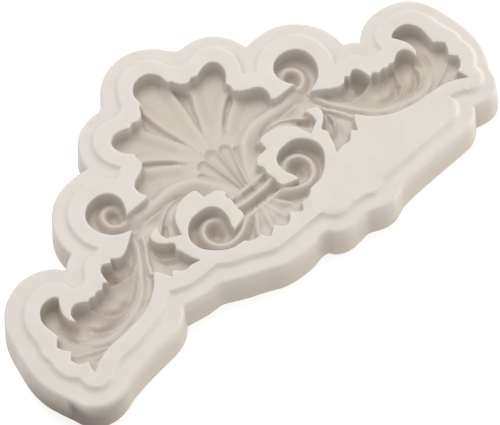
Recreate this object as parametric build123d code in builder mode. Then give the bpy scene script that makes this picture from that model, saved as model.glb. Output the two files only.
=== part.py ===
# Open-face silicone casting mould for a carved crest: a shell over two pairs of scrolls, with an
# acanthus leaf to each side. The crest is sunk into the top face, so its high points are deepest.
# The real mould is one casting; here its regions are separate solids that meet face to face.
# Origin on the underside, below the crest's line of symmetry. +X along the mould, +Z up.
import os

from build123d import *

# Driving dimensions, mm
crest_length = 180.0  # tip to tip of the sunk crest, along X
crest_width = 77.9  # top of the shell to the foot of the fan, along Y
mould_height = 15.0  # underside to the rim that surrounds the crest
step_height = 1.2  # rim down to the ledge around it
slab_height = 6.0  # solid silicone below the deepest part of the crest
wall_draft = 5.0  # degrees, the outer wall leans out towards the base
flat_cut = 1.0  # the drafted wall runs on this far, and the underside is cut flat across it

# Depth of each sunk region below the rim
shell_depth = 5.8
groove_depth = 6.4
palmette_depth = 5.6
strand_depth = 5.2
volute_depth = 6.2
eye_depth = 7.6
eye_radius = 2.8
bar_depth = 5.0
bar_ridge_depth = 1.8
bar_ridge_width = 1.6
fan_depth = 4.0
fold_depth = 3.6
leaf_depth = 5.6
hook_depth = 5.2
small_leaf_depth = 5.0

# Round-bottomed flutes, cut below the floor of their region
flute_sink = 0.8
shell_flute_radius = 7.0
fan_flute_radius = 2.4

# The outlines below are drawn for a crest of this size, and stretch with it
drawn_length = 180.0
drawn_width = 77.9

ledge_z = mould_height - step_height

# Edge of the sunk crest, right half, top centre to bottom centre. Each list is one smooth stretch
# between two sharp points.
crest_edge = [
    [(0, 62.3), (2.6, 61.8), (4.6, 60.3), (5.9, 58.2), (6.2, 56.0), (6.4, 54.2)],
    [(6.4, 54.2), (7.6, 53.5), (8.4, 52.0), (9.2, 50.7), (10.2, 49.9)],
    [(10.2, 49.9), (12.0, 49.6), (13.8, 50.2), (15.8, 49.4)],
    [(15.8, 49.4), (18.0, 50.3), (20.5, 50.8), (22.7, 50.5), (24.2, 49.3), (24.9, 47.3),
     (24.6, 45.0), (23.6, 43.0), (21.3, 40.4)],
    [(21.3, 40.4), (21.7, 38.4), (21.3, 36.4)],
    [(21.3, 36.4), (22.8, 34.9), (24.6, 33.7), (26.6, 32.9), (28.4, 32.0), (29.7, 30.5),
     (30.0, 28.6), (29.7, 26.8), (28.9, 25.1)],
    [(28.9, 25.1), (30.4, 24.3), (34.0, 24.2), (38.9, 24.1)],
    [(38.9, 24.1), (37.3, 27.0), (36.5, 30.2), (37.2, 33.0), (38.9, 35.0), (41.2, 36.1),
     (43.9, 36.3), (46.7, 35.7), (49.1, 34.1), (50.7, 31.7), (51.2, 29.0), (50.8, 26.3),
     (49.7, 23.8), (47.9, 21.5), (45.6, 19.9), (41.5, 18.3)],
    [(41.5, 18.3), (43.5, 16.9), (46.0, 15.2), (48.2, 13.8), (50.3, 13.0), (52.4, 13.2),
     (54.2, 14.6)],
    [(54.2, 14.6), (55.0, 14.1), (55.3, 13.3)],
    [(55.3, 13.3), (56.6, 14.1), (58.2, 14.7), (59.7, 13.7), (60.4, 11.8), (60.9, 8.6)],
    [(60.9, 8.6), (62.6, 9.2), (64.2, 7.8)],
    [(64.2, 7.8), (66.2, 8.2), (67.8, 7.5)],
    [(67.8, 7.5), (69.4, 7.9), (71.0, 7.5)],
    [(71.0, 7.5), (72.6, 8.5), (74.5, 9.4), (76.3, 9.3), (77.8, 8.3), (78.6, 6.6), (78.8, 4.2)],
    [(78.8, 4.2), (79.9, 5.6), (80.4, 7.4), (80.3, 9.4), (79.5, 11.7), (77.4, 15.3)],
    [(77.4, 15.3), (78.5, 16.4), (80.5, 16.9), (82.7, 16.8), (84.8, 15.9), (86.4, 14.2),
     (87.4, 12.0), (87.6, 9.5), (87.3, 7.0), (87.0, 4.2)],
    [(87.0, 4.2), (88.5, 3.0), (90.0, 1.3)],
    [(90.0, 1.3), (89.1, -1.0), (87.6, -3.0)],
    [(87.6, -3.0), (88.5, -4.4), (89.6, -5.6)],
    [(89.6, -5.6), (88.9, -7.9), (87.3, -9.3), (85.4, -10.0)],
    [(85.4, -10.0), (86.0, -12.0), (86.5, -14.4)],
    [(86.5, -14.4), (82.5, -12.2), (79.0, -11.0), (75.0, -10.3), (70.0, -10.0), (65.0, -9.5),
     (60.5, -8.7), (57.0, -7.5), (53.5, -5.6), (50.0, -2.9), (46.5, 1.3)],
    [(46.5, 1.3), (45.1, -0.6), (43.0, -4.5)],
    [(43.0, -4.5), (42.3, -3.5), (41.4, -2.6)],
    [(41.4, -2.6), (39.8, -4.2), (38.0, -5.5), (35.0, -5.4), (31.8, -6.1)],
    [(31.8, -6.1), (33.4, -2.6), (34.3, 0.6), (35.2, 2.5)],
    [(35.2, 2.5), (34.5, 3.4), (34.3, 4.9), (36.6, 6.7), (38.4, 8.6), (39.0, 10.6), (38.5, 12.2),
     (37.0, 13.1), (34.3, 13.7)],
    [(34.3, 13.7), (35.0, 11.6), (35.2, 9.8), (34.8, 8.0)],
    [(34.8, 8.0), (32.4, 6.8), (30.0, 5.6)],
    [(30.0, 5.6), (29.1, 8.3), (28.0, 11.0), (26.0, 13.4), (23.3, 15.1), (19.5, 16.0),
     (16.4, 15.9), (14.8, 15.0), (14.4, 11.4)],
    [(14.4, 11.4), (12.4, 11.2), (9.8, 10.7), (7.6, 8.7)],
    [(7.6, 8.7), (8.7, 6.3), (8.2, 3.8), (8.7, 1.0), (8.5, -1.4), (9.0, -3.2)],
    [(9.0, -3.2), (11.6, -4.1), (14.9, -4.9)],
    [(14.9, -4.9), (14.6, -2.9), (13.6, -0.5), (13.2, 2.0), (13.5, 4.6), (14.9, 6.7),
     (17.4, 7.9), (20.4, 8.2), (23.4, 7.9), (26.0, 6.5), (28.0, 4.3), (29.1, 1.6), (29.1, -1.2),
     (27.9, -3.8), (25.6, -6.4), (22.9, -8.6), (20.0, -9.9), (15.4, -10.4)],
    [(15.4, -10.4), (14.0, -11.7), (12.0, -12.5), (9.4, -12.6)],
    [(9.4, -12.6), (8.6, -14.1), (7.3, -15.1), (5.6, -14.1), (3.6, -12.5)],
    [(3.6, -12.5), (2.6, -14.1), (1.4, -15.2), (0, -15.6)],
]

# Outer edge of the rim. The upper half is the same on both sides.
rim_upper = [
    [(0, 67.4), (3.6, 66.8), (6.6, 65.0), (8.8, 62.4), (10.3, 59.7), (11.6, 57.3), (14.0, 55.8),
     (17.3, 55.3), (20.5, 55.9), (23.6, 56.0), (26.4, 54.9), (28.6, 52.6), (29.8, 49.8),
     (30.1, 46.8), (29.3, 43.3), (27.0, 39.1)],
    [(27.0, 39.1), (29.5, 37.7), (32.6, 35.9)],
    [(32.6, 35.9), (34.3, 37.9), (37.0, 39.9), (40.2, 41.2), (44.0, 41.6), (47.8, 41.0),
     (51.2, 39.2), (54.0, 36.4), (55.7, 32.9), (56.2, 29.0), (55.8, 24.9), (53.6, 20.0)],
    [(53.6, 20.0), (56.5, 19.3), (59.5, 19.3), (62.3, 18.1), (64.3, 15.8), (65.8, 13.9),
     (68.2, 13.0), (72.2, 13.5)],
    [(72.2, 13.5), (72.8, 17.2), (74.6, 19.9), (77.6, 21.3), (81.0, 21.7), (84.6, 21.1),
     (88.0, 19.4), (90.7, 16.4), (92.3, 12.8), (92.9, 9.0), (93.6, 5.4), (94.6, 2.0),
     (94.3, -1.8), (94.8, -5.4), (93.6, -9.6), (91.0, -12.3)],
]
rim_lower_right = [
    [(91.0, -12.3), (91.1, -15.4), (89.9, -18.0), (87.0, -19.3), (83.8, -19.0), (80.6, -17.0),
     (76.2, -15.8)],
    [(76.2, -15.8), (76.3, -18.2), (74.9, -21.2), (71.8, -23.1), (66.0, -23.5), (54.0, -23.9),
     (44.0, -24.3), (36.8, -24.7), (33.6, -25.8), (30.6, -26.3), (27.2, -25.2), (22.5, -24.8),
     (17.4, -25.0), (14.2, -23.7), (11.3, -20.3)],
]
rim_lower_left = [
    [(11.3, -20.3), (4.0, -20.3), (-4.0, -20.5), (-9.5, -20.3), (-14.0, -18.5), (-19.0, -16.1),
     (-24.0, -14.2), (-28.5, -10.9)],
    [(-28.5, -10.9), (-32.0, -11.0), (-36.5, -11.0), (-42.0, -10.2), (-47.7, -7.8)],
    [(-47.7, -7.8), (-52.0, -10.3), (-57.0, -12.8), (-63.0, -14.5), (-70.0, -15.6),
     (-77.0, -16.3), (-81.5, -18.0), (-84.4, -19.6), (-88.0, -19.7), (-90.6, -17.4),
     (-91.2, -14.8), (-91.0, -12.3)],
]

# Outer edge of the ledge, clockwise from the crown's top. The mould was trimmed by hand, so the two
# wings and the foot differ.
ledge_edge = [
    [(0, 72.8), (4.4, 72.2), (8.8, 70.3), (12.5, 67.4), (14.9, 64.3), (17.8, 61.6), (21.6, 61.3),
     (25.4, 60.7), (29.2, 59.1), (32.5, 56.3), (34.7, 52.6), (35.8, 49.4), (36.3, 46.4)],
    [(36.3, 46.4), (39.6, 46.9), (43.6, 47.0), (47.8, 46.5), (52.0, 45.0), (56.0, 42.3),
     (59.3, 38.5), (61.5, 34.2), (62.4, 29.6), (62.3, 25.0)],
    [(62.3, 25.0), (65.7, 23.2), (68.4, 20.9)],
    [(68.4, 20.9), (71.0, 23.2), (74.4, 25.4), (78.4, 26.4), (82.6, 26.4), (87.0, 25.4),
     (91.3, 23.3), (94.6, 19.9), (96.7, 15.6), (98.0, 10.6), (99.1, 4.6), (99.5, -1.6),
     (99.1, -7.0), (97.4, -12.2), (95.3, -16.4), (94.0, -20.2), (91.6, -23.7), (88.0, -25.4),
     (84.0, -25.2), (80.4, -24.4)],
    [(80.4, -24.4), (77.8, -26.8), (74.6, -28.6), (70.0, -29.1), (60.0, -29.4), (50.0, -29.8),
     (41.0, -30.5), (37.4, -31.7), (34.3, -32.8), (31.0, -32.8), (27.8, -31.8), (24.2, -30.4),
     (20.0, -30.6), (16.4, -31.0), (13.2, -30.5), (10.6, -29.0), (8.8, -26.9), (5.6, -26.4),
     (0.0, -27.4), (-6.0, -27.4), (-11.6, -26.4), (-17.0, -24.0), (-23.0, -21.6), (-28.0, -19.2),
     (-32.4, -17.3), (-38.0, -17.0), (-43.0, -16.2), (-47.4, -15.4)],
    [(-47.4, -15.4), (-51.0, -18.8), (-56.0, -20.9), (-64.0, -21.9), (-72.0, -22.9),
     (-79.0, -24.3), (-84.0, -25.9), (-88.6, -26.3), (-93.0, -25.0), (-96.6, -21.6),
     (-98.3, -17.2), (-100.2, -12.0), (-101.6, -7.0), (-101.9, -1.0), (-101.2, 4.0),
     (-100.1, 9.0), (-98.9, 14.0), (-96.6, 19.4), (-92.8, 24.0), (-87.6, 27.1), (-82.0, 28.4),
     (-76.4, 27.5), (-71.6, 24.9), (-68.4, 20.9)],
    [(-68.4, 20.9), (-65.7, 23.2), (-62.3, 25.0)],
    [(-62.3, 25.0), (-62.4, 29.6), (-61.5, 34.2), (-59.3, 38.5), (-56.0, 42.3), (-52.0, 45.0),
     (-47.8, 46.5), (-43.6, 47.0), (-39.6, 46.9), (-36.3, 46.4)],
    [(-36.3, 46.4), (-35.8, 49.4), (-34.7, 52.6), (-32.5, 56.3), (-29.2, 59.1), (-25.4, 60.7),
     (-21.6, 61.3), (-17.8, 61.6), (-14.9, 64.3), (-12.5, 67.4), (-8.8, 70.3), (-4.4, 72.2),
     (0, 72.8)],
]

# Lines that part the sunk crest into its regions, right half
shell_ridge_inner = [(6.4, 54.2), (5.4, 45.0), (3.9, 39.0), (2.7, 33.0), (2.2, 28.0)]
shell_ridge_outer = [(10.2, 49.9), (9.8, 44.0), (8.2, 41.4), (7.0, 38.4), (5.5, 35.3), (3.6, 31.0),
                     (2.2, 28.0)]
shell_ridge_lower = [(21.3, 38.4), (19.2, 38.0), (16.0, 36.0), (13.2, 33.6), (10.9, 31.4),
                     (8.2, 28.0)]
strand_crest = [(2.0, 5.2), (2.5, 8.0), (3.3, 11.6), (4.8, 15.0), (7.0, 18.8), (9.5, 22.0),
                (11.5, 23.3), (14.5, 24.8), (18.5, 25.6), (23.5, 26.2), (27.5, 26.2), (28.9, 25.1)]
strand_foot = [(13.0, 15.5), (17.0, 18.0), (22.0, 18.9), (28.0, 18.6), (34.0, 18.6), (38.0, 18.4),
               (41.5, 18.3)]
stem_line = [(39.0, 11.5), (42.5, 8.0), (46.5, 1.3)]
hook_line = [(41.5, 18.3), (45.0, 11.0), (48.5, 6.0), (53.5, 1.0), (57.0, -1.2), (60.5, -2.5),
             (66.0, -4.7), (69.5, -4.3), (72.7, -3.0), (75.0, -1.0), (76.0, 0.8), (74.2, 1.2),
             (76.5, 4.0), (78.8, 4.2)]
lobe_line = [(48.5, 6.0), (51.3, 7.3), (54.8, 7.0), (57.8, 7.7), (60.9, 8.6)]
tip_line = [(66.0, -4.7), (67.5, 1.5), (69.5, 4.0), (71.0, 7.5)]
fan_side = [(3.4, -2.6), (5.0, -5.5), (7.5, -8.5), (9.4, -12.6)]


def stretched(points):
    """Points of a drawn outline, stretched to the crest's size."""
    return [(x * crest_length / drawn_length, y * crest_width / drawn_width) for x, y in points]


def flipped(points):
    """The same points on the left half."""
    return [(-x, y) for x, y in points]


def smooth_edges(stretches):
    """Adds one curve for each stretch to the line being built."""
    for stretch in stretches:
        Spline(*stretched(stretch))


def crest_face():
    with BuildLine() as outline:
        smooth_edges(crest_edge)
        mirror(about=Plane.YZ)
    make_face(outline.edges())


def rim_face():
    with BuildLine() as outline:
        smooth_edges(rim_upper)
        mirror(about=Plane.YZ)
        smooth_edges(rim_lower_right)
        smooth_edges(rim_lower_left)
    make_face(outline.edges())


def keep_inside(outline):
    Polygon(*stretched(outline), align=None, mode=Mode.INTERSECT)


def write(piece, name):
    piece.part.label = name
    export_step(piece.part, f"parts/{name}.step")


def sunk_region(outline, depth):
    """Silicone under one region of the crest, up to that region's floor."""
    with BuildPart() as piece:
        with BuildSketch(Plane.XY.offset(slab_height)):
            crest_face()
            keep_inside(outline)
        extrude(amount=mould_height - depth - slab_height)
    return piece


def flute(piece, start, end, radius, depth):
    """Cuts a round-bottomed channel from start to end into the floor at the given depth."""
    (x0, y0), (x1, y1) = stretched([start, end])
    along = Vector(x1 - x0, y1 - y0, 0)
    centre_z = mould_height - depth + radius - flute_sink
    tool = Plane(origin=(x0, y0, centre_z), z_dir=along) * Cylinder(
        radius, along.length, align=(Align.CENTER, Align.CENTER, Align.MIN))
    with BuildPart() as fluted:
        add(piece.part)
        add(tool, mode=Mode.SUBTRACT)
    return fluted


def border(outline):
    """Rim and ledge within one sector of the outline, down to the slab."""
    with BuildPart() as piece:
        add(blank.part)
        with BuildSketch(Plane.XY.offset(slab_height)):
            Polygon(*stretched(outline), align=None)
        extrude(amount=ledge_z - slab_height, mode=Mode.INTERSECT)
        with BuildSketch(Plane.XY.offset(slab_height)):
            rim_face()
            keep_inside(outline)
        extrude(amount=mould_height - slab_height)
        with BuildSketch(Plane.XY.offset(slab_height)):
            crest_face()
        extrude(amount=mould_height - slab_height, mode=Mode.SUBTRACT)
    return piece


os.makedirs("parts", exist_ok=True)

# Solid body of the mould up to the ledge, from which the slab and the borders are taken
with BuildPart() as blank:
    with BuildSketch(Plane.XY.offset(ledge_z)):
        with BuildLine() as ledge_outline:
            smooth_edges(ledge_edge)
        make_face(ledge_outline.edges())
    extrude(amount=-ledge_z - flat_cut, taper=-wall_draft)

with BuildPart() as base_slab:
    add(blank.part)
    for cut_z, cut_away in [(slab_height, mould_height), (0, -mould_height)]:
        with BuildSketch(Plane.XY.offset(cut_z)):
            Rectangle(3 * crest_length, 3 * crest_length)
        extrude(amount=cut_away, mode=Mode.SUBTRACT)
write(base_slab, "base_slab")

# Borders: rim and ledge, sector by sector
crown_sector = [(32.6, 24.0), (32.6, 35.9), (36.3, 46.4), (45.0, 90.0), (-45.0, 90.0),
                (-36.3, 46.4), (-32.6, 35.9), (-32.6, 24.0)]
ring_sector = [(32.6, 24.0), (32.6, 35.9), (36.3, 46.4), (45.0, 90.0), (90.0, 90.0), (62.3, 25.0),
               (53.6, 20.0), (41.5, 18.3)]
wing_top = [(41.5, 18.3), (53.6, 20.0), (62.3, 25.0), (90.0, 90.0), (140.0, 90.0)]
right_wing_sector = wing_top + [(140.0, -60.0), (84.0, -60.0), (80.4, -24.4), (76.2, -15.8),
                                (76.0, -8.0)]
left_wing_sector = flipped(wing_top + [(140.0, -60.0), (47.4, -60.0), (47.4, -15.4), (47.7, -7.8),
                                       (46.5, 1.3)])
island_sector = [(6.0, -6.0), (6.0, 12.0), (13.0, 18.0), (30.0, 18.0), (40.5, 15.0), (40.5, 5.0),
                 (35.0, -3.0), (27.0, -3.0), (20.0, -6.0)]
pad_sector = [(12.0, -12.0), (11.3, -20.3), (8.8, -26.9), (5.0, -60.0), (84.0, -60.0),
              (80.4, -24.4), (76.2, -15.8), (76.0, -8.0), (60.0, 0.0), (46.5, 1.4), (41.0, 1.4),
              (35.0, -3.0), (27.0, -3.0), (20.0, -6.0)]
foot_sector = [(12.0, -12.0), (11.3, -20.3), (8.8, -26.9), (5.0, -60.0), (-47.4, -60.0),
               (-47.4, -15.4), (-47.7, -7.8), (-46.5, 1.3), (-41.0, 1.3), (-35.0, -3.0),
               (-27.0, -3.0), (-20.0, -6.0), (0.0, -10.0)]
write(border(crown_sector), "crown_border")
write(border(ring_sector), "ring_border_right")
write(border(flipped(ring_sector)), "ring_border_left")
write(border(right_wing_sector), "wing_border_right")
write(border(left_wing_sector), "wing_border_left")
write(border(foot_sector), "foot_border")
write(border(pad_sector), "corner_pad")

# Regions of the sunk crest on the line of symmetry
shell_centre = shell_ridge_inner[::-1] + [(9.0, 70.0), (-9.0, 70.0)] + flipped(shell_ridge_inner)
palmette = [(8.2, 28.0)] + strand_crest[5::-1] + flipped(strand_crest[:6]) + [(-8.2, 28.0)]
tie_band = [(12.0, 5.2), (12.0, -2.6), (-12.0, -2.6), (-12.0, 5.2)]
fan = fan_side + [(9.4, -20.0), (-9.4, -20.0)] + flipped(fan_side[::-1])

centre_piece = flute(sunk_region(shell_centre, shell_depth), (0, 28.0), (0, 60.0),
                     shell_flute_radius, shell_depth)
write(centre_piece, "shell_lobe_centre")

palmette_piece = sunk_region(palmette, palmette_depth)
for tip in [(-5.4, 24.6), (0, 26.0), (5.4, 24.6)]:
    palmette_piece = flute(palmette_piece, (tip[0] * 0.2, 6.0), tip, fan_flute_radius, palmette_depth)
write(palmette_piece, "palmette")

with BuildPart() as band_piece:
    add(sunk_region(tie_band, bar_depth).part)
    with BuildSketch(Plane.XY.offset(mould_height - bar_depth)):
        crest_face()
        keep_inside(tie_band)
        with Locations(stretched([(0, 1.1)])[0]):
            Rectangle(crest_length, bar_ridge_width, mode=Mode.INTERSECT)
    extrude(amount=bar_depth - bar_ridge_depth)
write(band_piece, "tie_band")

fan_piece = sunk_region(fan, fan_depth)
for tip in [(-7.3, -14.4), (0, -15.2), (7.3, -14.4)]:
    fan_piece = flute(fan_piece, (tip[0] * 0.2, -3.0), tip, fan_flute_radius, fan_depth)
write(fan_piece, "lower_fan")

# Regions that are the same on both sides
groove = shell_ridge_inner + shell_ridge_outer[-2::-1]
upper_lobe = shell_ridge_outer + [(8.2, 28.0)] + shell_ridge_lower[-2::-1] + [(30.0, 38.4),
                                                                              (30.0, 56.0),
                                                                              (10.2, 56.0)]
lower_lobe = shell_ridge_lower + strand_crest[5:] + [(31.0, 25.1), (31.0, 38.4)]
strand = (strand_crest + [(38.9, 24.1)] + strand_foot[::-1]
          + [(13.0, 11.0), (10.0, 10.0), (9.5, 5.2)])
volute = [(38.9, 24.1), (30.0, 40.0), (55.0, 40.0), (55.0, 18.3), (41.5, 18.3)]
folds = strand_foot + [(39.0, 11.5), (36.0, 8.5), (33.0, 4.5), (29.3, 5.0), (28.0, 7.0),
                       (24.0, 10.0), (16.0, 12.0), (13.0, 11.0)]
small_leaf = stem_line + [(46.5, -8.0), (30.0, -8.0), (33.0, 4.5), (36.0, 8.5)]
hook = stem_line[::-1] + hook_line + [(110.0, 10.0), (110.0, -20.0), (46.5, -20.0)]
first_lobe = hook_line[:3] + lobe_line[1:] + [(62.0, 18.0), (46.0, 18.0)]
second_lobe = (lobe_line + [(60.9, 12.0), (71.0, 12.0)] + tip_line[::-1]
               + [(60.5, -2.5), (57.0, -1.2), (53.5, 1.0)])
third_lobe = tip_line + [(71.0, 12.0), (79.0, 12.0)] + hook_line[:5:-1]
lower_volute = fan_side[::-1] + [(9.0, -2.6), (12.0, 0.0), (12.0, 6.0), (17.0, 10.0),
                                 (24.0, 10.0), (28.0, 7.0), (30.0, 3.0), (31.0, -2.0),
                                 (31.0, -13.0)]

for side, place in [("right", list), ("left", flipped)]:
    write(border(place(island_sector)), f"island_{side}")
    write(sunk_region(place(groove), groove_depth), f"shell_groove_{side}")
    upper_piece = flute(sunk_region(place(upper_lobe), shell_depth),
                        *place([(5.0, 29.0), (18.5, 47.0)]), shell_flute_radius, shell_depth)
    write(upper_piece, f"shell_lobe_upper_{side}")
    lower_piece = flute(sunk_region(place(lower_lobe), shell_depth),
                        *place([(9.0, 25.0), (26.0, 31.0)]), shell_flute_radius, shell_depth)
    write(lower_piece, f"shell_lobe_lower_{side}")
    write(sunk_region(place(strand), strand_depth), f"scroll_strand_{side}")
    write(sunk_region(place(folds), fold_depth), f"leaf_folds_{side}")
    write(sunk_region(place(small_leaf), small_leaf_depth), f"small_leaf_{side}")
    write(sunk_region(place(hook), hook_depth), f"leaf_hook_{side}")
    write(sunk_region(place(first_lobe), leaf_depth), f"leaf_lobe_first_{side}")
    write(sunk_region(place(second_lobe), leaf_depth), f"leaf_lobe_second_{side}")
    write(sunk_region(place(third_lobe), leaf_depth), f"leaf_lobe_third_{side}")
    for name, outline, eye in [("upper_volute", volute, (41.4, 28.4)),
                               ("lower_volute", lower_volute, (18.8, -0.5))]:
        with BuildPart() as volute_piece:
            add(sunk_region(place(outline), volute_depth).part)
            with BuildSketch(Plane.XY.offset(mould_height - volute_depth)):
                with Locations(stretched(place([eye]))[0]):
                    Circle(eye_radius)
            extrude(amount=volute_depth - eye_depth, mode=Mode.SUBTRACT)
        write(volute_piece, f"{name}_{side}")
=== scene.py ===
# Open-face silicone mould for a carved crest: a shell over two pairs of scrolls, an acanthus leaf to
# each side. One casting, so one skin stands for all of the CAD regions. The crest is sunk into the
# top face, which makes its high points the deepest. Plan sizes and depths are in millimetres.
import math

import bmesh
import bpy
import numpy as np
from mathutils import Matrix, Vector, kdtree
from mathutils.geometry import delaunay_2d_cdt


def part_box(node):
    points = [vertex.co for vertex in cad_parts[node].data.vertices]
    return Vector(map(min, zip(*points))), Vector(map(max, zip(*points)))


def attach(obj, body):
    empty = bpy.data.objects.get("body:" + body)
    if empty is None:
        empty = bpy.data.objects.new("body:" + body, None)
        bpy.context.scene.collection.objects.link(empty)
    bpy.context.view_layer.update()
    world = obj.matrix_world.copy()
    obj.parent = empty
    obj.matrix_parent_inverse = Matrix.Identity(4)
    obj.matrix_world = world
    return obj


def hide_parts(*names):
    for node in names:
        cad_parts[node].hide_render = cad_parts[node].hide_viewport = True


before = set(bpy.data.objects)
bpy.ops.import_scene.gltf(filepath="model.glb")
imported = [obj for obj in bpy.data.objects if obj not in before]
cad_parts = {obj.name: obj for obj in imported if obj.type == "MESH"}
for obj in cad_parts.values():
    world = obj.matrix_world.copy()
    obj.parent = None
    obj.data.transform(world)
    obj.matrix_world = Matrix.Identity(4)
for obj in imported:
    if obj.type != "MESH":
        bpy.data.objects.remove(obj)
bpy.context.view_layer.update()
mm = 0.001

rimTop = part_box("crown_border")[1][2] / mm  # top of the rim, the highest face of the mould

# Edge of the sunk crest, right half, top centre to bottom centre. Each list is one smooth stretch
# between two sharp points.
crestEdge = [
    [(0, 62.3), (2.6, 61.8), (4.6, 60.3), (5.9, 58.2), (6.2, 56.0), (6.4, 54.2)],
    [(6.4, 54.2), (7.6, 53.5), (8.4, 52.0), (9.2, 50.7), (10.2, 49.9)],
    [(10.2, 49.9), (12.0, 49.6), (13.8, 50.2), (15.8, 49.4)],
    [(15.8, 49.4), (18.0, 50.3), (20.5, 50.8), (22.7, 50.5), (24.2, 49.3), (24.9, 47.3),
     (24.6, 45.0), (23.6, 43.0), (21.3, 40.4)],
    [(21.3, 40.4), (21.7, 38.4), (21.3, 36.4)],
    [(21.3, 36.4), (22.8, 34.9), (24.6, 33.7), (26.6, 32.9), (28.4, 32.0), (29.7, 30.5),
     (30.0, 28.6), (29.7, 26.8), (28.9, 25.1)],
    [(28.9, 25.1), (30.4, 24.3), (34.0, 24.2), (38.9, 24.1)],
    [(38.9, 24.1), (37.3, 27.0), (36.5, 30.2), (37.2, 33.0), (38.9, 35.0), (41.2, 36.1),
     (43.9, 36.3), (46.7, 35.7), (49.1, 34.1), (50.7, 31.7), (51.2, 29.0), (50.8, 26.3),
     (49.7, 23.8), (47.9, 21.5), (45.6, 19.9), (41.5, 18.3)],
    [(41.5, 18.3), (43.5, 16.9), (46.0, 15.2), (48.2, 13.8), (50.3, 13.0), (52.4, 13.2),
     (54.2, 14.6)],
    [(54.2, 14.6), (55.0, 14.1), (55.3, 13.3)],
    [(55.3, 13.3), (56.6, 14.1), (58.2, 14.7), (59.7, 13.7), (60.4, 11.8), (60.9, 8.6)],
    [(60.9, 8.6), (62.6, 9.2), (64.2, 7.8)],
    [(64.2, 7.8), (66.2, 8.2), (67.8, 7.5)],
    [(67.8, 7.5), (69.4, 7.9), (71.0, 7.5)],
    [(71.0, 7.5), (72.6, 8.5), (74.5, 9.4), (76.3, 9.3), (77.8, 8.3), (78.6, 6.6), (78.8, 4.2)],
    [(78.8, 4.2), (79.9, 5.6), (80.4, 7.4), (80.3, 9.4), (79.5, 11.7), (77.4, 15.3)],
    [(77.4, 15.3), (78.5, 16.4), (80.5, 16.9), (82.7, 16.8), (84.8, 15.9), (86.4, 14.2),
     (87.4, 12.0), (87.6, 9.5), (87.3, 7.0), (87.0, 4.2)],
    [(87.0, 4.2), (88.5, 3.0), (90.0, 1.3)],
    [(90.0, 1.3), (89.1, -1.0), (87.6, -3.0)],
    [(87.6, -3.0), (88.5, -4.4), (89.6, -5.6)],
    [(89.6, -5.6), (88.9, -7.9), (87.3, -9.3), (85.4, -10.0)],
    [(85.4, -10.0), (86.0, -12.0), (86.5, -14.4)],
    [(86.5, -14.4), (82.5, -12.2), (79.0, -11.0), (75.0, -10.3), (70.0, -10.0), (65.0, -9.5),
     (60.5, -8.7), (57.0, -7.5), (53.5, -5.6), (50.0, -2.9), (46.5, 1.3)],
    [(46.5, 1.3), (45.1, -0.6), (43.0, -4.5)],
    [(43.0, -4.5), (42.3, -3.5), (41.4, -2.6)],
    [(41.4, -2.6), (39.8, -4.2), (38.0, -5.5), (35.0, -5.4), (31.8, -6.1)],
    [(31.8, -6.1), (33.4, -2.6), (34.3, 0.6), (35.2, 2.5)],
    [(35.2, 2.5), (34.5, 3.4), (34.3, 4.9), (36.6, 6.7), (38.4, 8.6), (39.0, 10.6), (38.5, 12.2),
     (37.0, 13.1), (34.3, 13.7)],
    [(34.3, 13.7), (35.0, 11.6), (35.2, 9.8), (34.8, 8.0)],
    [(34.8, 8.0), (32.4, 6.8), (30.0, 5.6)],
    [(30.0, 5.6), (29.1, 8.3), (28.0, 11.0), (26.0, 13.4), (23.3, 15.1), (19.5, 16.0),
     (16.4, 15.9), (14.8, 15.0), (14.4, 11.4)],
    [(14.4, 11.4), (12.4, 11.2), (9.8, 10.7), (7.6, 8.7)],
    [(7.6, 8.7), (8.7, 6.3), (8.2, 3.8), (8.7, 1.0), (8.5, -1.4), (9.0, -3.2)],
    [(9.0, -3.2), (11.6, -4.1), (14.9, -4.9)],
    [(14.9, -4.9), (14.6, -2.9), (13.6, -0.5), (13.2, 2.0), (13.5, 4.6), (14.9, 6.7),
     (17.4, 7.9), (20.4, 8.2), (23.4, 7.9), (26.0, 6.5), (28.0, 4.3), (29.1, 1.6), (29.1, -1.2),
     (27.9, -3.8), (25.6, -6.4), (22.9, -8.6), (20.0, -9.9), (15.4, -10.4)],
    [(15.4, -10.4), (14.0, -11.7), (12.0, -12.5), (9.4, -12.6)],
    [(9.4, -12.6), (8.6, -14.1), (7.3, -15.1), (5.6, -14.1), (3.6, -12.5)],
    [(3.6, -12.5), (2.6, -14.1), (1.4, -15.2), (0, -15.6)],
]

# Outer edge of the rim. The upper half is the same on both sides.
rimUpper = [
    [(0, 67.4), (3.6, 66.8), (6.6, 65.0), (8.8, 62.4), (10.3, 59.7), (11.6, 57.3), (14.0, 55.8),
     (17.3, 55.3), (20.5, 55.9), (23.6, 56.0), (26.4, 54.9), (28.6, 52.6), (29.8, 49.8),
     (30.1, 46.8), (29.3, 43.3), (27.0, 39.1)],
    [(27.0, 39.1), (29.5, 37.7), (32.6, 35.9)],
    [(32.6, 35.9), (34.3, 37.9), (37.0, 39.9), (40.2, 41.2), (44.0, 41.6), (47.8, 41.0),
     (51.2, 39.2), (54.0, 36.4), (55.7, 32.9), (56.2, 29.0), (55.8, 24.9), (53.6, 20.0)],
    [(53.6, 20.0), (56.5, 19.3), (59.5, 19.3), (62.3, 18.1), (64.3, 15.8), (65.8, 13.9),
     (68.2, 13.0), (72.2, 13.5)],
    [(72.2, 13.5), (72.8, 17.2), (74.6, 19.9), (77.6, 21.3), (81.0, 21.7), (84.6, 21.1),
     (88.0, 19.4), (90.7, 16.4), (92.3, 12.8), (92.9, 9.0), (93.6, 5.4), (94.6, 2.0),
     (94.3, -1.8), (94.8, -5.4), (93.6, -9.6), (91.0, -12.3)],
]
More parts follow.
